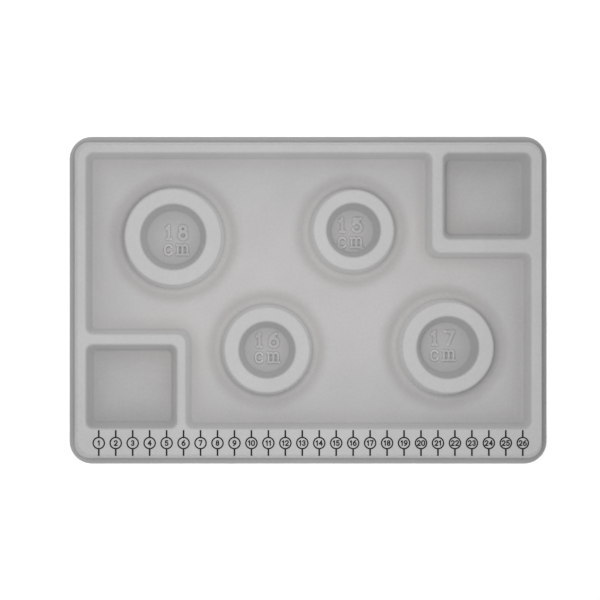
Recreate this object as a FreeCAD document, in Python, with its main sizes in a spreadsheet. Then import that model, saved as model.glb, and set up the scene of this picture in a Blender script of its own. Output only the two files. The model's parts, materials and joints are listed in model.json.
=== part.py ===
"""Flocked bracelet sizing board: a formed tray with four ring bosses, two bead bins and a printed scale.

Frame: +Z up, +X along the printed scale, +Y away from it. The origin is the centre of the footprint on
the table. The board is a stack of bonded layers. Each layer lies between two of the FACES below, and every
face is the same formed surface set back into the material by its own distance, so the layers nest with no
gap.
"""

import FreeCAD, Part

import math
import os

import Sketcher
from FreeCAD import Placement, Rotation, Vector

# name: (value in millimetres unless the note says otherwise, note)
DIMENSIONS = {
    "tray_height": (15.0, "table to the top of the rim"),
    "board_length": (286.5, "outside of the trimmed lip, along X"),
    "board_depth": (196.3, "outside of the trimmed lip, along Y"),
    "rim_length": (274.2, "outside of the rim's top, along X"),
    "rim_depth": (183.4, "outside of the rim's top, along Y"),
    "wall_run": (0.25, "skirt, basin and bin walls: run per unit of height"),
    "flange_corner_radius": (13.5, "corners of the trimmed lip, in plan"),
    "flange_foot_radius": (1.0, "where the lip meets the skirt"),
    "skirt_corner_radius": (9.0, "outside corners of the skirt"),
    "rim_edge_radius": (0.7, "outer edge of the rim's top"),
    "sheet_thickness": (1.2, "formed plastic sheet"),
    "adhesive_thickness": (0.15, "film that holds the pile"),
    "pile_height": (0.5, "flock fibres standing out of the adhesive"),
    "left_rim": (5.1, "width of the rim's top"),
    "right_rim": (5.9, "width of the rim's top"),
    "top_rim": (4.8, "width of the rim's top"),
    "scale_band": (15.6, "width of the front rim, which carries the scale"),
    "basin_depth": (10.3, "rim to the basin's floor"),
    "bin_depth": (12.8, "rim to the floors of the two bead bins"),
    "right_bin_length": (52.1, "mouth, along X"),
    "right_bin_width": (51.0, "mouth, along Y"),
    "right_divider": (6.5, "wall on the bin's left side"),
    "right_shelf": (8.3, "wall on the bin's front side"),
    "left_bin_length": (53.8, "mouth, along X"),
    "left_bin_width": (49.6, "mouth, along Y"),
    "left_divider": (5.4, "wall on the bin's right side"),
    "left_shelf": (6.4, "wall on the bin's back side"),
    "pocket_corner_radius": (4.0, "corners of the basin and the bins that point out"),
    "divider_corner_radius": (6.5, "corners of the dividers that point into the basin"),
    "pocket_edge_radius": (2.0, "mouths of the basin and the bins"),
    "floor_radius": (2.0, "feet of the basin's and the bins' walls"),
    "boss_run": (0.14, "ring boss's outer wall: run per unit of height"),
    "cup_run": (0.30, "cup's wall: run per unit of depth"),
    "cup_depth": (11.5, "rim to a cup's floor"),
    "channel_depth": (12.6, "rim to the bottom of the bead channel round a boss"),
    "channel_foot": (5.5, "ring's edge to the foot of the channel's slope"),
    "channel_reach": (12.5, "ring's edge to the brim of the channel"),
    "boss_edge_radius": (1.5, "both edges of the ring on top of a boss"),
    "boss_foot_radius": (3.0, "where a boss meets its channel"),
    "cup_floor_radius": (1.8, "foot of the cup's wall"),
    "slope_foot_radius": (5.0, "foot of the channel's slope"),
    "brim_radius": (12.0, "where the channel rolls up into the basin's floor"),
    "least_radius": (0.3, "tightest bend that the sheet's back takes"),
    "mark_height": (0.9, "size marks above a cup's floor"),
    "figure_height": (9.8, "figures of a size mark"),
    "figure_stroke": (2.0, "width of their strokes"),
    "figure_spacing": (3.0, "clear space between them"),
    "unit_height": (7.2, "letters below the figures"),
    "unit_stroke": (1.45, "width of their strokes"),
    "unit_spacing": (1.2, "clear space between them"),
    "unit_gap": (1.9, "figures to the letters below them"),
    "ink_thickness": (0.08, "printed scale above the pile"),
    "mark_pitch": (10.0, "scale mark to scale mark"),
    "mark_count": (26.0, "number of scale marks, not a length"),
    "mark_offset": (0.85, "middle of the scale from the middle of the board"),
    "mark_line": (-84.45, "the scale's ring centres, along Y"),
    "mark_span": (15.2, "end to end of a mark's tick lines"),
    "mark_ring_diameter": (7.4, "outside of a mark's ring"),
    "mark_ring_stroke": (0.78, "line width of a mark's ring"),
    "tick_stroke": (0.95, "line width of a tick"),
    "numeral_height": (3.45, "printed figures"),
    "numeral_stroke": (0.7, "line width of the printed figures"),
    "numeral_spacing": (0.22, "clear space between two printed figures"),
}

# bracelet length in centimetres: (boss centre x, y, diameter of the cup's mouth, size mark's middle from the
# boss centre in x, y)
BOSSES = {
    15: (26.2, 41.2, 32.3, -0.9, -0.9),
    16: (-24.9, -29.6, 33.8, 0.5, 1.0),
    17: (81.9, -28.2, 37.1, -1.3, 0.9),
    18: (-80.4, 37.2, 39.2, 1.6, -1.3),
}

# face of a layer: how far it is set back from the pile's tips, as an expression
FACES = {
    "pile_face": "0",
    "adhesive_face": "Dims.pile_height",
    "sheet_face": "(Dims.pile_height + Dims.adhesive_thickness)",
    "sheet_back": "(Dims.pile_height + Dims.adhesive_thickness + Dims.sheet_thickness)",
}

# layer: (its outer face, its inner face)
LAYERS = {
    "flock_pile": ("pile_face", "adhesive_face"),
    "flock_adhesive": ("adhesive_face", "sheet_face"),
    "tray_shell": ("sheet_face", "sheet_back"),
}

DIVIDER_RIGHT = 2  # corner of the basin's outline that points into it, at the right bin
DIVIDER_LEFT = 6  # the same at the left bin
QUARTERS = (("-", "-"), ("", "-"), ("", ""), ("-", ""))  # signs of a rectangle's corners, anticlockwise
BELOW_TABLE = 1.0  # how far the sheet's back runs on below the table, so that it opens the underside
ABOVE_RIM = 2.0  # how far the outline that turns a boss reaches over the rim
BLANK_MARGIN = 1.0  # how much wider and higher a boss's blank is than the boss
CORNER_CLIMB = 5.0  # a straight edge that climbs further than this is the corner of a wall
TOLERANCE = 0.01  # for finding an edge or a face by where it lies


# ---------------------------------------------------------------- document and helpers


def make_sheet(doc):
    """The driving dimensions, one row each: value in A, note in B."""
    sheet = doc.addObject("Spreadsheet::Sheet", "Dims")
    rows = dict(DIMENSIONS)
    for size, (x, y, cup, mark_x, mark_y) in BOSSES.items():
        rows[f"strand_{size}"] = (size * 10.0, "inner length of the bracelet that the ring sizes")
        rows[f"boss_{size}_x"] = (x, "boss centre")
        rows[f"boss_{size}_y"] = (y, "boss centre")
        rows[f"cup_{size}"] = (cup, "diameter of the cup's mouth")
        rows[f"size_mark_{size}_x"] = (mark_x, "middle of the size mark from the boss's centre")
        rows[f"size_mark_{size}_y"] = (mark_y, "middle of the size mark from the boss's centre")
    for row, (alias, (value, note)) in enumerate(rows.items(), start=1):
        sheet.set(f"A{row}", str(value))
        sheet.setAlias(f"A{row}", alias)
        sheet.set(f"B{row}", note)
    doc.recompute()
    return sheet


def value(obj, expression):
    """What an expression over the sheet comes to, as a plain number."""
    result = obj.evalExpression(expression)
    return float(getattr(result, "Value", result))


def origin_plane(body, role):
    return next(f for f in body.Origin.OriginFeatures if f.Role == role)


def new_sketch(body, name, plane, offset):
    """A sketch on one of the body's origin planes, moved by three expressions in the plane's own axes."""
    sketch = body.newObject("Sketcher::SketchObject", name)
    sketch.AttachmentSupport = [(origin_plane(body, plane), "")]
    sketch.MapMode = "FlatFace"
    sketch.AttachmentOffset = Placement(Vector(*[value(body, e) for e in offset]), Rotation())
    for axis, expression in zip("xyz", offset):
        sketch.setExpression(f"AttachmentOffset.Base.{axis}", expression)
    return sketch


def polygon_sketch(body, name, corners, plane="XY_Plane", offset=("0", "0", "0")):
    """A closed polygon whose every corner is held at a pair of expressions."""
    sketch = new_sketch(body, name, plane, offset)
    points = [Vector(value(body, x), value(body, y), 0) for x, y in corners]
    for start, end in zip(points, points[1:] + points[:1]):
        sketch.addGeometry(Part.LineSegment(start, end))
    for i, (x, y) in enumerate(corners):
        sketch.addConstraint(Sketcher.Constraint("Coincident", i, 2, (i + 1) % len(corners), 1))
        for kind, expression, number in (("DistanceX", x, points[i].x), ("DistanceY", y, points[i].y)):
            held = sketch.addConstraint(Sketcher.Constraint(kind, -1, 1, i, 1, number))
            sketch.renameConstraint(held, f"corner_{i}_{kind[-1].lower()}")
            sketch.setExpression(f"Constraints.corner_{i}_{kind[-1].lower()}", expression)
    return sketch


def circle_sketch(body, name, radii, offset):
    """Circles about the sketch's origin, one for each radius expression."""
    sketch = new_sketch(body, name, "XY_Plane", offset)
    for i, expression in enumerate(radii):
        radius = value(body, expression)
        sketch.addGeometry(Part.Circle(Vector(0, 0, 0), Vector(0, 0, 1), radius))
        sketch.addConstraint(Sketcher.Constraint("Coincident", i, 3, -1, 1))
        held = sketch.addConstraint(Sketcher.Constraint("Radius", i, radius))
        sketch.renameConstraint(held, f"radius_{i}")
        sketch.setExpression(f"Constraints.radius_{i}", expression)
    return sketch


def extrude(body, kind, name, sketch, length, down=False):
    """A Pad or a Pocket of a sketch, by an expression."""
    feature = body.newObject(f"PartDesign::{kind}", name)
    feature.Profile = sketch
    feature.setExpression("Length", length)
    feature.Reversed = down
    body.Document.recompute()
    return feature


def names(kind, items, test):
    return [f"{kind}{i}" for i, item in enumerate(items, start=1) if test(item)]


def level(shape, height):
    """True for a face or edge that lies flat at a height."""
    box = shape.BoundBox
    return abs(box.ZMin - height) < TOLERANCE and abs(box.ZMax - height) < TOLERANCE


def draft(body, name, base, walls, height, run):
    """Leans the walls by run per unit of height, about the flat face at a height."""
    feature = body.newObject("PartDesign::Draft", name)
    feature.Base = (base, walls)
    feature.NeutralPlane = (base, names("Face", base.Shape.Faces, lambda f: level(f, height))[:1])
    feature.setExpression("Angle", f"atan({run})")
    body.Document.recompute()
    return feature


def fillet(body, name, test, radius):
    """Rounds the edges of the body so far that pass a test."""
    base = body.Tip
    feature = body.newObject("PartDesign::Fillet", name)
    feature.Base = (base, names("Edge", base.Shape.Edges, test))
    feature.setExpression("Radius", radius)
    body.Document.recompute()
    return feature


def is_upright(face):
    return abs(face.normalAt(0, 0).z) < TOLERANCE


def set_back(run, inset):
    """How far a wall's line at the rim moves into the material when the whole surface is set back."""
    return f"{inset} * (sqrt(1 + ({run})^2) - ({run}))"


# ---------------------------------------------------------------- the formed surface


def skirt(body, inset, has_flange):
    """The block under the rim: four leaning walls, and the trimmed lip at their foot."""
    half_x = f"Dims.rim_length / 2 - {set_back('Dims.wall_run', inset)}"
    half_y = f"Dims.rim_depth / 2 - {set_back('Dims.wall_run', inset)}"
    corners = [(f"{sx}({half_x})", f"{sy}({half_y})") for sx, sy in QUARTERS]
    top = f"Dims.tray_height - {inset}"
    outline = polygon_sketch(body, "skirt_outline", corners, offset=("0", "0", top))
    height = top if has_flange else f"{top} + {BELOW_TABLE}"
    block = extrude(body, "Pad", "skirt_block", outline, height, down=True)
    walls = names("Face", block.Shape.Faces, is_upright)
    draft(body, "skirt_draft", block, walls, value(body, top), "Dims.wall_run")
    fillet(body, "skirt_corners", is_corner_edge, f"Dims.skirt_corner_radius - {inset}")
    if has_flange:
        flange(body, inset)


def flange(body, inset):
    """The lip that is left where the sheet is trimmed, level with the table."""
    half_x, half_y = "Dims.board_length / 2", "Dims.board_depth / 2"
    corners = [(f"{sx}{half_x}", f"{sy}{half_y}") for sx, sy in QUARTERS]
    outline = polygon_sketch(body, "flange_outline", corners)
    extrude(body, "Pad", "flange_lip", outline, f"{FACES['sheet_back']} - {inset}")
    top = value(body, f"{FACES['sheet_back']} - {inset}")
    edge_x, edge_y = value(body, half_x), value(body, half_y)
    corner_radius = value(body, "Dims.flange_corner_radius")

    def is_lip_corner(edge):
        return stands_at(edge, edge_x, edge_y) and edge.BoundBox.ZLength > top / 2

    def is_foot(edge):
        return level(edge, top) and not on_outline(edge, edge_x, edge_y, corner_radius)

    fillet(body, "flange_corners", is_lip_corner, "Dims.flange_corner_radius")
    fillet(body, "flange_foot", is_foot, f"Dims.flange_foot_radius + {inset}")


def stands_at(edge, half_x, half_y):
    """True for an upright edge at a corner of a rectangle round the origin."""
    middle = edge.CenterOfMass
    return abs(abs(middle.x) - half_x) < TOLERANCE and abs(abs(middle.y) - half_y) < TOLERANCE


def on_outline(edge, half_x, half_y, corner_radius):
    """True for an edge that runs along a rectangle with round corners."""
    middle = edge.valueAt((edge.FirstParameter + edge.LastParameter) / 2)
    over_x = max(0, abs(middle.x) - half_x + corner_radius)
    over_y = max(0, abs(middle.y) - half_y + corner_radius)
    return math.hypot(over_x, over_y) > corner_radius - TOLERANCE


def is_corner_edge(edge):
    """True for a straight edge that climbs a wall's corner."""
    return edge.BoundBox.ZLength > CORNER_CLIMB and len(edge.Vertexes) == 2


def pocket(body, name, corners, inset, depth):
    """A flat-floored hollow with leaning walls."""
    top = f"Dims.tray_height - {inset}"
    outline = polygon_sketch(body, f"{name}_outline", corners, offset=("0", "0", top))
    before = {point(f.CenterOfMass) for f in body.Tip.Shape.Faces}
    cut = extrude(body, "Pocket", f"{name}_pocket", outline, depth)
    walls = names(
        "Face", cut.Shape.Faces, lambda f: is_upright(f) and point(f.CenterOfMass) not in before
    )
    draft(body, f"{name}_draft", cut, walls, value(body, top), "Dims.wall_run")


def point(vector):
    return tuple(round(c, 2) for c in vector)


def pocket_outlines(inset):
    """Where the walls of each hollow meet the rim's plane: corners as pairs of expressions."""
    shift = set_back("Dims.wall_run", inset)
    left = f"-Dims.rim_length / 2 + Dims.left_rim - {shift}"
    right = f"Dims.rim_length / 2 - Dims.right_rim + {shift}"
    back = f"Dims.rim_depth / 2 - Dims.top_rim + {shift}"
    front = f"-Dims.rim_depth / 2 + Dims.scale_band - {shift}"
    right_bin_left = f"{right} - Dims.right_bin_length - 2 * {shift}"
    right_bin_front = f"{back} - Dims.right_bin_width - 2 * {shift}"
    left_bin_right = f"{left} + Dims.left_bin_length + 2 * {shift}"
    left_bin_back = f"{front} + Dims.left_bin_width + 2 * {shift}"
    basin_right = f"{right_bin_left} - Dims.right_divider + 2 * {shift}"
    basin_shelf_right = f"{right_bin_front} - Dims.right_shelf + 2 * {shift}"
    basin_left = f"{left_bin_right} + Dims.left_divider - 2 * {shift}"
    basin_shelf_left = f"{left_bin_back} + Dims.left_shelf - 2 * {shift}"
    return {
        "basin": [
            (left, back), (basin_right, back), (basin_right, basin_shelf_right), (right, basin_shelf_right),
            (right, front), (basin_left, front), (basin_left, basin_shelf_left), (left, basin_shelf_left),
        ],
        "right_bin": [
            (right_bin_left, back), (right, back),
            (right, right_bin_front), (right_bin_left, right_bin_front),
        ],
        "left_bin": [
            (left, left_bin_back), (left_bin_right, left_bin_back), (left_bin_right, front), (left, front),
        ],
    }  # fmt: skip


def hollows(body, inset):
    """The basin and the two bead bins, with their corners, floors and mouths rounded."""
    outlines = pocket_outlines(inset)
    depths = {"basin": "Dims.basin_depth", "right_bin": "Dims.bin_depth", "left_bin": "Dims.bin_depth"}
    for name, corners in outlines.items():
        pocket(body, name, corners, inset, depths[name])

    top = value(body, f"Dims.tray_height - {inset}")
    floors = [top - value(body, depth) for depth in depths.values()]
    dividers = [[value(body, c) for c in outlines["basin"][i]] for i in (DIVIDER_RIGHT, DIVIDER_LEFT)]
    low_x = value(body, "-Dims.rim_length / 2 + Dims.left_rim / 2")
    high_x = value(body, "Dims.rim_length / 2 - Dims.right_rim / 2")
    low_y = value(body, "-Dims.rim_depth / 2 + Dims.scale_band / 2")
    high_y = value(body, "Dims.rim_depth / 2 - Dims.top_rim / 2")

    def within_rim(edge):
        box = edge.BoundBox
        return low_x < box.XMin and box.XMax < high_x and low_y < box.YMin and box.YMax < high_y

    def is_divider_corner(edge):
        high = max(edge.Vertexes, key=lambda v: v.Z)
        return any(math.hypot(high.X - x, high.Y - y) < TOLERANCE for x, y in dividers)

    def is_pocket_corner(edge):
        return is_corner_edge(edge) and within_rim(edge)

    rounding = [
        ("pocket_corners", lambda e: is_pocket_corner(e) and not is_divider_corner(e),
         f"Dims.pocket_corner_radius + {inset}"),
        ("divider_corners", lambda e: is_pocket_corner(e) and is_divider_corner(e),
         f"Dims.divider_corner_radius - {inset}"),
        ("floor_edges", lambda e: any(level(e, z) for z in floors) and within_rim(e),
         f"Dims.floor_radius + {inset}"),
        ("pocket_mouths", lambda e: level(e, top) and within_rim(e),
         f"max(Dims.pocket_edge_radius - {inset}; Dims.least_radius)"),
        ("rim_edge", lambda e: level(e, top) and not within_rim(e),
         f"max(Dims.rim_edge_radius - {inset}; Dims.least_radius)"),
    ]  # fmt: skip
    for name, test, radius in rounding:
        fillet(body, name, test, radius)


def boss_lines(size, inset):
    """The radii and the heights that a boss is turned to, as expressions."""
    slope_run = "(Dims.channel_reach - Dims.channel_foot) / (Dims.channel_depth - Dims.basin_depth)"
    mouth = f"(Dims.cup_{size} / 2 + {set_back('Dims.cup_run', inset)})"
    ring = f"(Dims.strand_{size} / pi / 2 - {set_back('Dims.boss_run', inset)})"
    slope_foot = f"(Dims.strand_{size} / pi / 2 + Dims.channel_foot + {set_back(slope_run, inset)})"
    radii = {
        "cup_foot": f"({mouth} - Dims.cup_run * Dims.cup_depth)",
        "cup_mouth": mouth,
        "ring_edge": ring,
        "boss_foot": f"({ring} + Dims.boss_run * Dims.channel_depth)",
        "slope_foot": slope_foot,
        "brim": f"({slope_foot} + Dims.channel_reach - Dims.channel_foot)",
    }
    top = f"(Dims.tray_height - {inset})"
    heights = {
        "top": top,
        "cup": f"({top} - Dims.cup_depth)",
        "basin": f"({top} - Dims.basin_depth)",
        "channel": f"({top} - Dims.channel_depth)",
    }
    return radii, heights


def ring_boss(body, size, inset):
    """A blank standing on the basin's floor, turned to a boss with its cup and its bead channel."""
    radii, heights = boss_lines(size, inset)
    x, y = f"Dims.boss_{size}_x", f"Dims.boss_{size}_y"
    blank_radius = f"{radii['boss_foot']} + {BLANK_MARGIN}"
    blank = circle_sketch(body, f"blank_{size}", [blank_radius], (x, y, heights["basin"]))
    extrude(body, "Pad", f"boss_{size}_blank", blank, f"Dims.basin_depth + {BLANK_MARGIN}")
    over = f"{heights['top']} + {ABOVE_RIM}"
    profile = [
        ("0", heights["cup"]), (radii["cup_foot"], heights["cup"]), (radii["cup_mouth"], heights["top"]),
        (radii["ring_edge"], heights["top"]), (radii["boss_foot"], heights["channel"]),
        (radii["slope_foot"], heights["channel"]), (radii["brim"], heights["basin"]),
        (radii["brim"], over), ("0", over),
    ]  # fmt: skip
    sketch = polygon_sketch(body, f"turning_{size}", profile, plane="XZ_Plane", offset=(x, "0", f"-{y}"))
    turned = body.newObject("PartDesign::Groove", f"boss_{size}_turned")
    turned.Profile = sketch
    turned.ReferenceAxis = (sketch, ["V_Axis"])
    turned.Angle = 360
    body.Document.recompute()
    round_boss(body, size, inset)


def round_boss(body, size, inset):
    """Rounds every circle that turning a boss has left."""
    radii, heights = boss_lines(size, inset)
    x, y = value(body, f"Dims.boss_{size}_x"), value(body, f"Dims.boss_{size}_y")
    edge_radius = f"max(Dims.boss_edge_radius - {inset}; Dims.least_radius)"
    rounding = [
        ("cup_foot", "cup", f"Dims.cup_floor_radius + {inset}"),
        ("cup_mouth", "top", edge_radius),
        ("ring_edge", "top", edge_radius),
        ("boss_foot", "channel", f"Dims.boss_foot_radius + {inset}"),
        ("slope_foot", "channel", f"Dims.slope_foot_radius + {inset}"),
        ("brim", "basin", f"Dims.brim_radius - {inset}"),
    ]
    for circle, height, rounded in rounding:
        at = Vector(x, y, value(body, heights[height]))
        radius = value(body, radii[circle])
        fillet(body, f"{circle}_{size}", lambda e, at=at, radius=radius: is_circle(e, at, radius), rounded)


def is_circle(edge, centre, radius):
    """True for a level circle of a radius about a centre."""
    if not level(edge, centre.z) or edge.Curve.TypeId != "Part::GeomCircle":
        return False
    off_centre = math.hypot(edge.Curve.Center.x - centre.x, edge.Curve.Center.y - centre.y)
    return abs(edge.Curve.Radius - radius) < TOLERANCE and off_centre < TOLERANCE


def formed_face(doc, name, inset):
    """The solid under one of the FACES: everything between it and the table."""
    body = doc.addObject("PartDesign::Body", name)
    body.Label = name
    skirt(body, inset, has_flange=name != "sheet_back")
    hollows(body, inset)
    for size in BOSSES:
        ring_boss(body, size, inset)
    return body


# ---------------------------------------------------------------- figures and letters

# Each glyph is a width and a list of strokes, on a grid one unit high. A stroke is a list of points, or an
# arc as ("arc", centre x, centre y, radius, first angle, last angle) in degrees, anticlockwise.
GLYPHS = {
    "0": (0.60, [("arc", 0.30, 0.70, 0.30, 0, 180), [(0, 0.70), (0, 0.30)],
                 ("arc", 0.30, 0.30, 0.30, 180, 360), [(0.60, 0.30), (0.60, 0.70)]]),
    "1": (0.34, [[(0.02, 0.78), (0.24, 1.0), (0.24, 0)]]),
    "2": (0.58, [("arc", 0.29, 0.71, 0.29, -35, 170), [(0.5275, 0.5437), (0, 0), (0.58, 0)]]),
    "3": (0.56, [("arc", 0.27, 0.76, 0.24, -90, 160), ("arc", 0.27, 0.26, 0.26, -160, 90)]),
    "4": (0.64, [[(0.46, 0), (0.46, 1.0), (0, 0.32), (0.64, 0.32)]]),
    "5": (0.58, [[(0.54, 1.0), (0.10, 1.0), (0.06, 0.55)], ("arc", 0.27, 0.31, 0.31, -150, 131)]),
    "6": (0.60, [("arc", 0.30, 0.30, 0.30, 0, 360), ("arc", 0.66, 0.36, 0.66, 104, 184)]),
    "7": (0.58, [[(0, 1.0), (0.58, 1.0), (0.20, 0)]]),
    "8": (0.58, [("arc", 0.29, 0.27, 0.27, 0, 360), ("arc", 0.29, 0.77, 0.23, 0, 360)]),
    "9": (0.60, [("arc", 0.30, 0.70, 0.30, 0, 360), ("arc", -0.06, 0.64, 0.66, -76, 4)]),
}  # fmt: skip

# the raised marks are wider, with a foot on the figure one and on the letter m
RAISED_GLYPHS = {
    "1": (0.32, [[(0, 0.80), (0.18, 1.0), (0.18, 0)], [(0.04, 0), (0.32, 0)]]),
    "5": (0.68, [[(0.62, 1.0), (0.13, 1.0), (0.10, 0.58)], ("arc", 0.34, 0.34, 0.34, -150, 135)]),
    "6": (0.64, [("arc", 0.32, 0.32, 0.32, 0, 360), ("arc", 0.66, 0.36, 0.66, 104, 180)]),
    "7": (0.66, [[(0, 1.0), (0.66, 1.0), (0.24, 0)]]),
    "8": (0.60, [("arc", 0.30, 0.29, 0.29, 0, 360), ("arc", 0.30, 0.77, 0.23, 0, 360)]),
    "c": (0.74, [("arc", 0.37, 0.63, 0.37, 25, 180), [(0, 0.63), (0, 0.37)],
                 ("arc", 0.37, 0.37, 0.37, 180, 335)]),
    "m": (1.26, [[(0, 1.0), (0.13, 1.0), (0.13, 0)], ("arc", 0.38, 0.75, 0.25, 0, 180),
                 [(0.63, 0.75), (0.63, 0)], ("arc", 0.88, 0.75, 0.25, 0, 180),
                 [(1.13, 0.75), (1.13, 0)], [(0, 0), (1.26, 0)]]),
}  # fmt: skip


def stroke_solids(stroke, width, scale, depth):
    """One stroke, widened evenly and with round ends, as solids that overlap each other."""
    if stroke[0] == "arc":
        x, y, radius, first, last = stroke[1:]
        x, y, radius = x * scale, y * scale, radius * scale
        at = Placement(Vector(x, y, 0), Rotation(Vector(0, 0, 1), first))
        outer = Part.makeCylinder(radius + width / 2, depth, Vector(), Vector(0, 0, 1), last - first)
        band = outer
        if radius > width / 2:
            band = outer.cut(Part.makeCylinder(radius - width / 2, depth))
        band.Placement = at
        if last - first >= 360:
            return [band]
        turns = [Rotation(Vector(0, 0, 1), angle) for angle in (first, last)]
        ends = [Vector(x, y, 0) + turn.multVec(Vector(radius, 0, 0)) for turn in turns]
        return [band] + [Part.makeCylinder(width / 2, depth, end) for end in ends]
    points = [Vector(x * scale, y * scale, 0) for x, y in stroke]
    solids = [Part.makeCylinder(width / 2, depth, p) for p in points]
    for start, end in zip(points, points[1:]):
        run = end - start
        bar = Part.makeBox(run.Length, width, depth, Vector(0, -width / 2, 0))
        bar.Placement = Placement(start, Rotation(Vector(1, 0, 0), run))
        solids.append(bar)
    return solids


def text_solids(text, glyphs, height, stroke, spacing, depth, centre):
    """A word as one solid for each glyph, its outline height tall and centred on a point."""
    scale = height - stroke
    widths = [glyphs[c][0] * scale + stroke for c in text]
    left = centre.x - (sum(widths) + spacing * (len(text) - 1)) / 2
    word = []
    for c, width in zip(text, widths):
        pieces = [s for line in glyphs[c][1] for s in stroke_solids(line, stroke, scale, depth)]
        glyph = pieces[0].fuse(pieces[1:]).removeSplitter()
        glyph.translate(Vector(left + stroke / 2, centre.y - scale / 2, centre.z))
        word.append(glyph)
        left += width + spacing
    return word


def size_mark(doc, dims, face, size):
    """The raised figures and unit in a cup, smaller and thinner all round on a face that is set back."""
    inset = value(dims, FACES[face])
    x = dims.get(f"boss_{size}_x") + dims.get(f"size_mark_{size}_x")
    y = dims.get(f"boss_{size}_y") + dims.get(f"size_mark_{size}_y")
    gap_y = y + (dims.unit_height - dims.figure_height) / 2  # middle of the gap between figures and letters
    figures_y = gap_y + (dims.unit_gap + dims.figure_height) / 2
    letters_y = gap_y - (dims.unit_gap + dims.unit_height) / 2
    # the lower half is inside the floor, so that the two fuse
    foot = dims.tray_height - dims.cup_depth - inset - dims.mark_height
    depth = 2 * dims.mark_height
    figures = text_solids(
        str(size), RAISED_GLYPHS, dims.figure_height - inset, dims.figure_stroke - inset,
        dims.figure_spacing + inset, depth, Vector(x, figures_y, foot),
    )  # fmt: skip
    letters = text_solids(
        "cm", RAISED_GLYPHS, dims.unit_height - inset, dims.unit_stroke - inset,
        dims.unit_spacing + inset, depth, Vector(x, letters_y, foot),
    )  # fmt: skip
    mark = doc.addObject("Part::Feature", f"size_mark_{size}_{face}")
    mark.Shape = Part.makeCompound(figures + letters)
    return mark


# ---------------------------------------------------------------- layers and print


def make_layers(doc, dims):
    """The bonded layers, each the space between two faces."""
    faces = {}
    for name, inset in FACES.items():
        body = formed_face(doc, name, inset)
        faces[name] = body
        if name != "sheet_back":
            fused = doc.addObject("Part::MultiFuse", f"{name}_marked")
            fused.Shapes = [body] + [size_mark(doc, dims, name, size) for size in BOSSES]
            faces[name] = fused
    layers = []
    for label, (outer, inner) in LAYERS.items():
        layer = doc.addObject("Part::Cut", label)
        layer.Label = label
        layer.Base = faces[outer]
        layer.Tool = faces[inner]
        layers.append(layer)
    return layers


def make_scale_marks(doc):
    """The printed rings with a tick line above and below, on a regular pitch."""
    body = doc.addObject("PartDesign::Body", "scale_marks")
    body.Label = "scale_marks"
    first_x = "Dims.mark_offset - Dims.mark_pitch * (Dims.mark_count - 1) / 2"
    at = (first_x, "Dims.mark_line", "Dims.tray_height")
    outer = "Dims.mark_ring_diameter / 2"
    inner = f"{outer} - Dims.mark_ring_stroke"
    ring_lines = circle_sketch(body, "ring_lines", [outer, inner], at)
    ring = extrude(body, "Pad", "ring", ring_lines, "Dims.ink_thickness")
    half = "Dims.tick_stroke / 2"
    ticks = []
    for name, sign in (("upper", ""), ("lower", "-")):
        near = f"{sign}({outer} - Dims.mark_ring_stroke / 2)"
        far = f"{sign}Dims.mark_span / 2"
        corners = [(f"-{half}", near), (half, near), (half, far), (f"-{half}", far)]
        outline = polygon_sketch(body, f"{name}_tick_lines", corners, offset=at)
        ticks.append(extrude(body, "Pad", f"{name}_tick", outline, "Dims.ink_thickness"))
    row = body.newObject("PartDesign::LinearPattern", "row_of_marks")
    row.Originals = [ring, *ticks]
    row.Direction = (origin_plane(body, "X_Axis"), [""])
    row.setExpression("Length", "Dims.mark_pitch * (Dims.mark_count - 1)")
    row.setExpression("Occurrences", "Dims.mark_count")
    body.Tip = row
    doc.recompute()
    return body


def make_scale_numerals(doc, dims):
    """The printed figures inside the rings."""
    count = int(dims.mark_count)
    first_x = dims.mark_offset - dims.mark_pitch * (count - 1) / 2
    glyphs = []
    for number in range(1, count + 1):
        centre = Vector(first_x + (number - 1) * dims.mark_pitch, dims.mark_line, dims.tray_height)
        glyphs += text_solids(
            str(number), GLYPHS, dims.numeral_height, dims.numeral_stroke, dims.numeral_spacing,
            dims.ink_thickness, centre,
        )  # fmt: skip
    numerals = doc.addObject("Part::Feature", "scale_numerals")
    numerals.Label = "scale_numerals"
    numerals.Shape = Part.makeCompound(glyphs)
    return numerals


def check(doc, parts):
    """Stops the build if any object failed or any part is not a sound solid."""
    for obj in doc.Objects:
        if "Invalid" in obj.State or "Error" in obj.State:
            raise RuntimeError(f"{obj.Label} failed: {obj.State}")
    for part in parts:
        shape = part.Shape
        if shape.isNull() or not shape.isValid() or not shape.Solids:
            raise RuntimeError(f"{part.Label} is not a valid solid")


def main():
    doc = FreeCAD.newDocument("bracelet_board")
    dims = make_sheet(doc)
    parts = make_layers(doc, dims)
    parts.append(make_scale_marks(doc))
    parts.append(make_scale_numerals(doc, dims))
    doc.recompute()
    check(doc, parts)
    os.makedirs("parts", exist_ok=True)
    for part in parts:
        part.Shape.exportStep(f"parts/{part.Label}.step")
        print(f"{part.Label}: {len(part.Shape.Solids)} solids, {part.Shape.Volume:.1f} mm3")


main()
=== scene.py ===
"""Flocked bracelet bead board: the looks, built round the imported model. Metres, in the model's frame."""

import json

import bmesh
import bpy
import numpy as np
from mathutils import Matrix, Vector, noise
from mathutils.bvhtree import BVHTree


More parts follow.
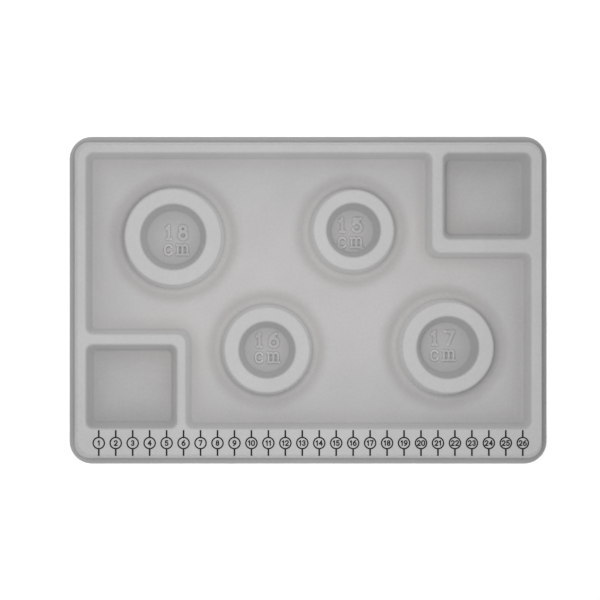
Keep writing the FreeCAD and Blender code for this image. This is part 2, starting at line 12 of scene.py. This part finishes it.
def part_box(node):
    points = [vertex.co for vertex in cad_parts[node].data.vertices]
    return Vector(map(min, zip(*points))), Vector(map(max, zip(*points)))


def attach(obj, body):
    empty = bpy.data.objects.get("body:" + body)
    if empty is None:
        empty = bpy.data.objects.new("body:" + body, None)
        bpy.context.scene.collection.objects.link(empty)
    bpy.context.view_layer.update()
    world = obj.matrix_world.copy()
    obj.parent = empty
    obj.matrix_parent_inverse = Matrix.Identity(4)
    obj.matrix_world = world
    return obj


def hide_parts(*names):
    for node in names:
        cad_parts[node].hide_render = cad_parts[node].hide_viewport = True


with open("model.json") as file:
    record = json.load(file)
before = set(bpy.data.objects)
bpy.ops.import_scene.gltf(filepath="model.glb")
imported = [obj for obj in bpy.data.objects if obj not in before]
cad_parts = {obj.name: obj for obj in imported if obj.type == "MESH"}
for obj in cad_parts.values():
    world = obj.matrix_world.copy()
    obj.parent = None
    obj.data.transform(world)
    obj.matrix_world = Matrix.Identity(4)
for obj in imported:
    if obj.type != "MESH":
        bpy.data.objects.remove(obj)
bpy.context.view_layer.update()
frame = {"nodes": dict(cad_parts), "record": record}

MM = 0.001
NODES = frame["nodes"]
RIM_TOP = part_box("flock_pile")[1].z

# ---------------------------------------------------------------- the flock's surface

GRID = 0.5 * MM  # spacing of the flock's mesh
LEAST_UP = -0.05  # a face of the pile whose normal points up by more than this belongs to its outer side
PILE_REACH = 0.45 * MM  # what lies nearer than this to the pile's outer side belongs to it
PILE_WAVE = (4.5 * MM, 0.10 * MM)  # size and depth of the soft unevenness of the pile
PILE_TUFT = (1.3 * MM, 0.05 * MM)  # size and depth of its clumps

# Where the pile gets painted highlight, partly wear, and painted shade is told from the board's shape.
BEND_ROUNDS = 3  # times that the edges and creases are smoothed
NO_LENGTH = 1e-12  # keeps an edge of no length from dividing by zero
HOLLOW_CELL = 1.0 * MM  # spacing of the height map that hollows are judged by
HOLLOW_REACH = 6  # how far round a place its hollowness is judged, in cells
HOLLOW_ROUNDS = 4  # times that the hollowness is smoothed
RIM_ROLL = 0.4 * MM  # what lies less than this under the rim's top counts as level with it
WALL_RUN = 3 * MM  # depth over which the painted shade on an outer wall or a bin's wall grows as dark as it gets
SKIRT = 6 * MM  # width of the skirt and its lip in plan
SKIRT_SHADE_SHARES = (0.65, 1.0)  # how much painted shade the skirt gets: in general, and at the right
CORNER = 14 * MM  # about the radius of the board's corners in plan
WALL_FOOT = 12 * MM  # from the board's side to the foot of the wall inside its rim
FRONT_WALL_FOOT = 24 * MM  # the same at the front, behind the scale
FLOOR_FADE = 20 * MM  # how far from the outer walls their painted shade reaches over the floor
LEFT_WALL_MORE_SHADE = (3 * MM, 2 * MM, 0.9)  # the left wall gets more painted shade yet: reach past its foot, fade, most
BINS = (  # left, front, right and back edge of each mouth, in mm
    (-132.0, -76.1, -78.2, -26.5),
    (79.1, 35.9, 131.2, 86.9),
)
BIN_FADE = (7, 18)  # how far in from a mouth's sides, and its front and back, the painted shade reaches, in mm
RING = 7.6 * MM  # width of the flat ring round a cup
CUP_RUN = 2 * MM  # depth over which the painted shade on a cup's wall grows as dark as it gets
CUP_MIDDLE = 0.3  # how much painted shade the middle of a cup's floor gets, where its wall gets 1
FOOT_REACH = 9 * MM  # how far the foot of a boss reaches past its ring
FOOT_FADE = 4 * MM  # over how much of that it fades out


def arrays(data):
    """A mesh's vertex places and its faces' corners, for a mesh whose faces are all of one kind."""
    at = np.empty(len(data.vertices) * 3)
    data.vertices.foreach_get("co", at)
    corners = np.empty(len(data.loops), int)
    data.loops.foreach_get("vertex_index", corners)
    return at.reshape(-1, 3), corners.reshape(len(data.polygons), -1)


def even_mesh(nodes):
    """The bonded layers as one solid with an even mesh: vertex places, and faces of four corners."""
    joined = bmesh.new()
    for node in nodes:
        joined.from_mesh(NODES[node].data)
    data = bpy.data.meshes.new("layers")
    joined.to_mesh(data)
    joined.free()
    solid = bpy.data.objects.new("layers", data)
    bpy.context.scene.collection.objects.link(solid)
    remesh = solid.modifiers.new("even", "REMESH")
    remesh.mode = "VOXEL"
    remesh.voxel_size = GRID
    even = bpy.data.meshes.new_from_object(solid.evaluated_get(bpy.context.evaluated_depsgraph_get()))
    found = arrays(even)
    bpy.data.objects.remove(solid)
    bpy.data.meshes.remove(data)
    bpy.data.meshes.remove(even)
    return found


def pile_face(node):
    """The pile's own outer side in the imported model, to look up the nearest point of."""
    at, corners = arrays(NODES[node].data)
    a, b, c = (at[corners[:, k]] for k in range(3))
    normal = np.cross(b - a, c - a)
    outer = normal[:, 2] > LEAST_UP * np.linalg.norm(normal, axis=1)
    return BVHTree.FromPolygons(at.tolist(), corners[outer].tolist())


def neighbours(faces):
    """Every edge once, as a pair of vertex numbers."""
    pairs = np.concatenate([faces[:, [k, (k + 1) % 4]] for k in range(4)])
    return np.unique(np.sort(pairs, axis=1), axis=0)


def smoothed(values, edges, rounds):
    """One number for each vertex, drawn halfway to the mean of its neighbours' in every round."""
    for _ in range(rounds):
        total = np.zeros(len(values))
        number = np.zeros(len(values))
        for near, far in ((0, 1), (1, 0)):
            np.add.at(total, edges[:, near], values[edges[:, far]])
            np.add.at(number, edges[:, near], 1.0)
        values = 0.5 * values + 0.5 * total / np.maximum(number, 1)
    return values


def convexity(at, normals, edges):
    """How much each vertex stands out of the surface round it: over 0 on an edge, under 0 in a crease."""
    run = at[edges[:, 1]] - at[edges[:, 0]]
    length = np.linalg.norm(run, axis=1) + NO_LENGTH
    bend = np.zeros(len(at))
    number = np.zeros(len(at))
    for near, sign in ((0, -1.0), (1, 1.0)):
        np.add.at(bend, edges[:, near], sign * np.einsum("ij,ij->i", run, normals[edges[:, near]]) / length)
        np.add.at(number, edges[:, near], 1.0)
    return smoothed(bend / np.maximum(number, 1), edges, BEND_ROUNDS)


def hollowness(at, edges):
    """How far each vertex lies under the mean height of the board round it: over 0 in a hollow."""
    margin = 3 * HOLLOW_REACH
    cell = np.round((at[:, :2] - at[:, :2].min(axis=0)) / HOLLOW_CELL).astype(int) + margin
    total = np.zeros(cell.max(axis=0) + margin)
    number = np.zeros_like(total)
    np.add.at(total, tuple(cell.T), at[:, 2])
    np.add.at(number, tuple(cell.T), 1.0)
    height = total / np.maximum(number, 1)
    weights = np.exp(-0.5 * (np.arange(-margin, margin + 1) / HOLLOW_REACH) ** 2)
    for axis in (0, 1):
        height = np.apply_along_axis(np.convolve, axis, height, weights / weights.sum(), mode="same")
    return smoothed(height[tuple(cell.T)], edges, HOLLOW_ROUNDS) - at[:, 2]


def under_rim(at, run):
    """0 for what lies level with the rim, up to 1 for what lies lower than it by run or more."""
    return np.clip((RIM_TOP - RIM_ROLL - at[:, 2]) / run, 0, 1)


def outer_painted_shade(at):
    """How much painted shade goes near the board's sides: 1 down by the walls inside the rim and less towards
    the middle. The skirt has its own shares.
    """
    low, high = at[:, :2].min(axis=0), at[:, :2].max(axis=0)
    past = CORNER - np.minimum(at[:, :2] - low, high - at[:, :2])
    to_side = CORNER - np.hypot(*np.maximum(past, 0).T) - np.minimum(past.max(axis=1), 0)
    to_foot = np.minimum(to_side - WALL_FOOT, at[:, 1] - low[1] - FRONT_WALL_FOOT)
    near = np.exp(-np.maximum(to_foot, 0) / FLOOR_FADE)
    beyond, fade, most = LEFT_WALL_MORE_SHADE
    near += np.clip((low[0] + WALL_FOOT + beyond - at[:, 0]) / fade, 0, most)
    usual, at_right = SKIRT_SHADE_SHARES
    skirt = usual + (at_right - usual) * np.clip((at[:, 0] - high[0]) / (4 * SKIRT) + 1, 0, 1)
    return np.where(to_side < SKIRT, skirt, near) * under_rim(at, WALL_RUN)


def in_bins(at):
    """How much painted shade the bins get: 1 on the bins' walls, falling off over their floors, 0 outside the
    bins.
    """
    inside = np.zeros(len(at))
    side_fade, end_fade = BIN_FADE
    for left, front, right, back in BINS:
        across = np.minimum(at[:, 0] / MM - left, right - at[:, 0] / MM)
        along = np.minimum(at[:, 1] / MM - front, back - at[:, 1] / MM)
        near = np.maximum(1 - across / side_fade, 1 - along / end_fade)
        inside += np.where(np.minimum(across, along) > 0, np.maximum(near, 0), 0)
    return inside * under_rim(at, WALL_RUN)


def mandrels(at):
    """For each boss, how far every vertex lies from its axis, and the outer radius of its ring."""
    for mount in frame["record"]["mounts"]:
        if mount["name"].startswith("bracelet_mandrel"):
            x, y, _ = mount["pos_m"]
            yield np.hypot(at[:, 0] - x, at[:, 1] - y), mount["dims"]["r_mm"] * MM


def in_cups(at):
    """How much painted shade, darker and cooler, the cups get: 1 on the cups' walls, less towards the middle
    of their floors, 0 outside the cups.
    """
    inside = np.zeros(len(at))
    for away, radius in mandrels(at):
        share = away / (radius - RING)
        inside += np.where(share < 1, CUP_MIDDLE + (1 - CUP_MIDDLE) * share**3, 0)
    return inside * under_rim(at, CUP_RUN)


def round_bosses(at):
    """Where the painted shade is lessened and painted light is put: 1 on the bosses' rings and round their
    feet, 0 elsewhere.
    """
    near = np.zeros(len(at))
    for away, radius in mandrels(at):
        near += np.where(away > radius - RING, np.clip((radius + FOOT_REACH - away) / FOOT_FADE, 0, 1), 0)
    return near


def make_flock():
    """The pile, with the unevenness and the clumps of real flock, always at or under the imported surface."""
    at, faces = even_mesh(("tray_shell", "flock_adhesive", "flock_pile"))
    outer = pile_face("flock_pile")
    nearest = [outer.find_nearest(point) for point in at.tolist()]
    kept = np.array([distance < PILE_REACH for _, _, _, distance in nearest])
    at = np.array([tuple(place) for place, _, _, _ in nearest])
    number = np.cumsum(kept) - 1
    faces = number[faces[kept[faces].all(axis=1)]]
    at = at[kept]

    data = bpy.data.meshes.new("flock_pile_surface")
    data.from_pydata(at.tolist(), [], faces.tolist())
    normals = np.empty(len(at) * 3)
    data.vertex_normals.foreach_get("vector", normals)
    normals = normals.reshape(-1, 3)
    edges = neighbours(faces)
    # shares that steer where the flock material paints light and shade
    looks = {
        "bend": convexity(at, normals, edges),
        "hollow": hollowness(at, edges),
        "outer": outer_painted_shade(at),
        "bin": in_bins(at),
        "cup": in_cups(at),
        "foot": round_bosses(at),
    }

    sunk = np.zeros(len(at))
    for size, depth in (PILE_WAVE, PILE_TUFT):
        sunk += [depth * (0.5 + 0.5 * noise.noise(Vector(point) / size)) for point in at.tolist()]
    data.vertices.foreach_set("co", (at - normals * sunk[:, None]).ravel())
    for name, values in looks.items():
        data.attributes.new(name, "FLOAT", "POINT").data.foreach_set("value", values.astype(np.float32))
    data.shade_smooth()
    data.update()
    flock = bpy.data.objects.new("flock_pile_surface", data)
    bpy.context.scene.collection.objects.link(flock)
    return flock


# ---------------------------------------------------------------- materials


class Nodes:
    """A short way to write a node tree: each call adds nodes and returns the output asked for."""

    def __init__(self, name):
        self.material = bpy.data.materials.new(name)
        self.material.use_nodes = True
        self.tree = self.material.node_tree
        self.shader = self.tree.nodes["Principled BSDF"]
        self.place = self.tree.nodes.new("ShaderNodeTexCoord").outputs["Object"]

    def add(self, kind, inputs=None, output=0, **settings):
        node = self.tree.nodes.new("ShaderNode" + kind)
        for name, setting in settings.items():
            setattr(node, name, setting)
        for socket, given in (inputs or {}).items():
            self.put(node.inputs[socket], given)
        return node.outputs[output]

    def put(self, socket, given):
        if isinstance(given, bpy.types.NodeSocket):
            self.tree.links.new(given, socket)
        else:
            socket.default_value = given

    def attribute(self, name):
        return self.add("Attribute", attribute_name=name, output="Fac")

    def z_of(self, vector):
        return self.add("SeparateXYZ", {"Vector": vector}, output="Z")

    def math(self, operation, *numbers):
        return self.add("Math", dict(enumerate(numbers)), operation=operation)

    def times(self, a, b):
        return self.math("MULTIPLY", a, b)

    def noise(self, size, detail=2.0, roughness=0.5, place=None):
        """Soft noise whose features are about size across, from 0 to 1."""
        inputs = {"Vector": place or self.place, "Scale": 1 / size}
        return self.add("TexNoise", inputs | {"Detail": detail, "Roughness": roughness})

    def remap(self, given, low, high, to_low=0.0, to_high=1.0):
        """Low to high become to_low to to_high, and what lies outside is held at those."""
        inputs = {"Value": given, "From Min": low, "From Max": high, "To Min": to_low, "To Max": to_high}
        return self.add("MapRange", inputs)

    def mix(self, share, a, b, blend="MIX"):
        """Colour a at share 0, colour b at share 1."""
        node = self.tree.nodes.new("ShaderNodeMix")
        node.data_type = "RGBA"
        node.blend_type = blend
        colours = [socket for socket in node.inputs if socket.type == "RGBA"]
        self.put(node.inputs["Factor"], share)
        self.put(colours[0], a)
        self.put(colours[1], b)
        return next(socket for socket in node.outputs if socket.type == "RGBA")

    def bump(self, height, distance, strength=1.0, normal=None):
        inputs = {"Height": height, "Distance": distance, "Strength": strength}
        if normal:
            inputs["Normal"] = normal
        return self.add("Bump", inputs)

    def finish(self, **inputs):
        for name, given in inputs.items():
            self.put(self.shader.inputs[name.replace("_", " ")], given)
        return self.material


def grey(level, warmth=0.0):
    """A linear grey. Warmth shifts it towards red, or towards blue where it is negative."""
    return (level * (1 + warmth), level, level * (1 - warmth), 1.0)


def flock_material():
    """Short matte pile: clumps and fibre tips, a painted highlight along edges, partly pile worn pale there,
    painted light on slopes and round the bosses' feet, and painted shade, darker and cooler, in hollows.
    """
    n = Nodes("flock")
    clumps = n.noise(1.6 * MM, detail=3.0, roughness=0.6)
    drift = n.noise(28 * MM)
    fibres = n.noise(0.22 * MM, roughness=0.7)
    names = ("bend", "hollow", "outer", "bin", "cup", "foot")
    bend, hollow, outer, inside_bin, cup, foot = (n.attribute(name) for name in names)
    upright = n.math("ABSOLUTE", n.z_of(n.add("NewGeometry", output="Normal")))
    steep = n.remap(upright, 0.85, 0.15)
    # how much painted shade the deepest places get: the channels' and bins' floors
    deepest = n.remap(n.z_of(n.place), RIM_TOP - 10.8 * MM, RIM_TOP - 12.6 * MM, 0.0, 0.10)

    # painted light and shade: the floors warmer and a touch lighter in the middle of the board, and the rims
    # and rings slightly paler than the floors
    floor = n.mix(n.remap(outer, 0.05, 0.35), grey(0.328, 0.024), grey(0.323, 0.012))
    base = n.mix(n.remap(hollow, -1.0 * MM, 1.5 * MM), grey(0.337, 0.002), floor)

    # painted shade beside the dividers, less so where one of the steps below has its own share
    painted_shade = n.remap(hollow, 0.5 * MM, 5 * MM, 0.0, 0.4)
    for place, full, kept in ((foot, 1, 0.3), (outer, 0.7, 0.3), (cup, 0.3, 0.2), (inside_bin, 0.4, 0.3)):
        painted_shade = n.times(painted_shade, n.remap(place, 0.0, full, 1.0, kept))
    base = n.mix(painted_shade, base, grey(0.160, -0.010))

    # painted shade on channels' and bins' floors and outer walls, painted light on slopes, painted shade on
    # bins' walls, painted light round the feet of the bosses, painted shade, cooler, in cups
    base = n.mix(deepest, base, grey(0.08))
    base = n.mix(n.times(outer, 0.3), base, grey(0.19, -0.01))
    base = n.mix(n.times(steep, 0.3), base, grey(0.42))
    base = n.mix(n.times(inside_bin, 0.4), base, grey(0.19))
    base = n.mix(n.times(n.remap(bend, -0.015, -0.06, 0.0, 0.35), foot), base, grey(0.42))
    base = n.mix(cup, base, grey(0.218, -0.02))

    # a painted highlight along the edges, partly pile worn pale there, painted shade in the creases, and the
    # unevenness of the pile itself
    colour = n.mix(n.remap(bend, 0.10, 0.26, 0.0, 0.8), base, grey(0.50, 0.004))
    colour = n.mix(n.remap(bend, -0.10, -0.25, 0.0, 0.8), colour, grey(0.13, -0.02))
    speckle = n.remap(fibres, 0.3, 0.7, 0.94, 1.06)
    patch = n.remap(clumps, 0.3, 0.7, 0.97, 1.03)
    wide = n.remap(drift, 0.3, 0.7, 0.975, 1.025)
    shade = n.times(n.times(speckle, patch), wide)
    shade = n.add("CombineColor", {"Red": shade, "Green": shade, "Blue": shade})
    colour = n.mix(1.0, colour, shade, blend="MULTIPLY")

    normal = n.bump(clumps, 0.10 * MM, strength=0.5)
    normal = n.bump(fibres, 0.10 * MM, strength=0.7, normal=normal)
    n.shader.inputs["Sheen Weight"].default_value = 0.35
    n.shader.inputs["Sheen Roughness"].default_value = 0.5
    n.shader.inputs["Specular IOR Level"].default_value = 0.12
    return n.finish(Base_Color=colour, Roughness=n.remap(clumps, 0.3, 0.7, 0.9, 1.0), Normal=normal)


def ink_material():
    """Matte black print on the pile's tips. Fibres break through it in places."""
    n = Nodes("ink")
    fibres = n.noise(0.20 * MM, roughness=0.7)
    patches = n.noise(1.4 * MM)
    bare = n.times(n.remap(fibres, 0.60, 0.72), n.remap(patches, 0.35, 0.7, 0.0, 0.35))
    colour = n.mix(bare, grey(0.005), grey(0.12))
    n.shader.inputs["Specular IOR Level"].default_value = 0.15
    normal = n.bump(fibres, 0.06 * MM, strength=0.6)
    return n.finish(Base_Color=colour, Roughness=n.remap(fibres, 0.3, 0.7, 0.7, 0.95), Normal=normal)


def sheet_material():
    """Formed polystyrene: a satin grey with a faint orange peel, drawn thinner and paler on its walls."""
    n = Nodes("tray_plastic")
    peel = n.noise(0.9 * MM)
    cloud = n.noise(22 * MM, detail=3.0, roughness=0.6)
    upright = n.math("ABSOLUTE", n.z_of(n.add("NewGeometry", output="Normal")))
    drawn = n.add("Mapping", {"Vector": n.place, "Scale": (1.0, 0.12, 1.0)})
    lines = n.noise(1.2 * MM, detail=3.0, place=drawn)
    base = n.mix(n.remap(upright, 0.9, 0.3), grey(0.46, -0.004), grey(0.53, -0.008))
    colour = n.mix(n.remap(cloud, 0.35, 0.65, 0.0, 0.22), base, grey(0.39))
    colour = n.mix(n.remap(lines, 0.55, 0.7, 0.0, 0.10), colour, grey(0.60))
    rough = n.math("ADD", n.remap(cloud, 0.3, 0.7, 0.30, 0.42), n.remap(lines, 0.4, 0.7, 0.0, 0.08))
    n.shader.inputs["Specular IOR Level"].default_value = 0.5
    normal = n.bump(peel, 0.05 * MM, strength=0.35)
    return n.finish(Base_Color=colour, Roughness=rough, Normal=normal)


def adhesive_material():
    """The dried film that shows as a thin line between sheet and pile along the trimmed edge."""
    n = Nodes("flock_adhesive")
    beads = n.noise(0.5 * MM)
    colour = n.mix(n.remap(beads, 0.35, 0.65), grey(0.42, 0.01), grey(0.55, 0.02))
    normal = n.bump(beads, 0.05 * MM, strength=0.5)
    return n.finish(Base_Color=colour, Roughness=n.remap(beads, 0.3, 0.7, 0.45, 0.7), Normal=normal)


def table_material():
    """A plain pale table top."""
    n = Nodes("table")
    colour = n.mix(n.remap(n.noise(60 * MM), 0.3, 0.7), grey(0.90), grey(0.92))
    return n.finish(Base_Color=colour, Roughness=0.9)


def paint(thing, material):
    thing.data.materials.clear()
    thing.data.materials.append(material)


# ---------------------------------------------------------------- table, lights and camera

TABLE_SIZE = 6.0
SOFTBOX_AT = Vector((-0.030, 0.004, 0.46))  # over the board, shining straight down
SOFTBOX_SIZE = 0.28
SOFTBOX_POWER = 2.3
SOFTBOX_COLOUR = (1.0, 0.986, 0.990)
WORLD_COLOUR = (0.985, 0.99, 1.0, 1.0)
WORLD_STRENGTH = 0.55
EYE = Vector((-0.040, -0.011, RIM_TOP + 0.714))  # where the board is seen from, straight down
VIEW_WIDTH = 0.3538  # how much the frame spans at the rim's height
VIEW_CENTRE = (-0.0055, -0.0001)  # what lies in the middle of the frame, at that height
SENSOR = 36.0  # in mm, as the lens is


def make_table():
    mesh = bmesh.new()
    bmesh.ops.create_grid(mesh, x_segments=2, y_segments=2, size=TABLE_SIZE / 2)
    data = bpy.data.meshes.new("table")
    mesh.to_mesh(data)
    mesh.free()
    table = bpy.data.objects.new("table", data)
    bpy.context.scene.collection.objects.link(table)
    paint(table, table_material())


def make_softbox():
    data = bpy.data.lights.new("softbox", "AREA")
    data.shape = "DISK"
    data.size = SOFTBOX_SIZE
    data.energy = SOFTBOX_POWER
    data.color = SOFTBOX_COLOUR
    light = bpy.data.objects.new("softbox", data)
    light.visible_camera = False
    light.location = SOFTBOX_AT
    bpy.context.scene.collection.objects.link(light)


def make_world():
    world = bpy.data.worlds.new("studio")
    world.use_nodes = True
    background = world.node_tree.nodes["Background"]
    background.inputs["Color"].default_value = WORLD_COLOUR
    background.inputs["Strength"].default_value = WORLD_STRENGTH
    bpy.context.scene.world = world


def make_camera():
    data = bpy.data.cameras.new("camera")
    distance = EYE.z - RIM_TOP
    data.sensor_width = SENSOR
    data.lens = SENSOR * distance / VIEW_WIDTH
    data.shift_x = (VIEW_CENTRE[0] - EYE.x) / VIEW_WIDTH
    data.shift_y = (VIEW_CENTRE[1] - EYE.y) / VIEW_WIDTH
    camera = bpy.data.objects.new("camera", data)
    camera.location = EYE
    bpy.context.scene.collection.objects.link(camera)
    bpy.context.scene.camera = camera


make_camera()
make_world()
make_softbox()
make_table()
bpy.context.scene.view_settings.view_transform = "Standard"

flock = make_flock()
paint(flock, flock_material())
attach(flock, "root")
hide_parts("flock_pile")

ink = ink_material()
paint(NODES["scale_marks"], ink)
paint(NODES["scale_numerals"], ink)
paint(NODES["tray_shell"], sheet_material())
paint(NODES["flock_adhesive"], adhesive_material())
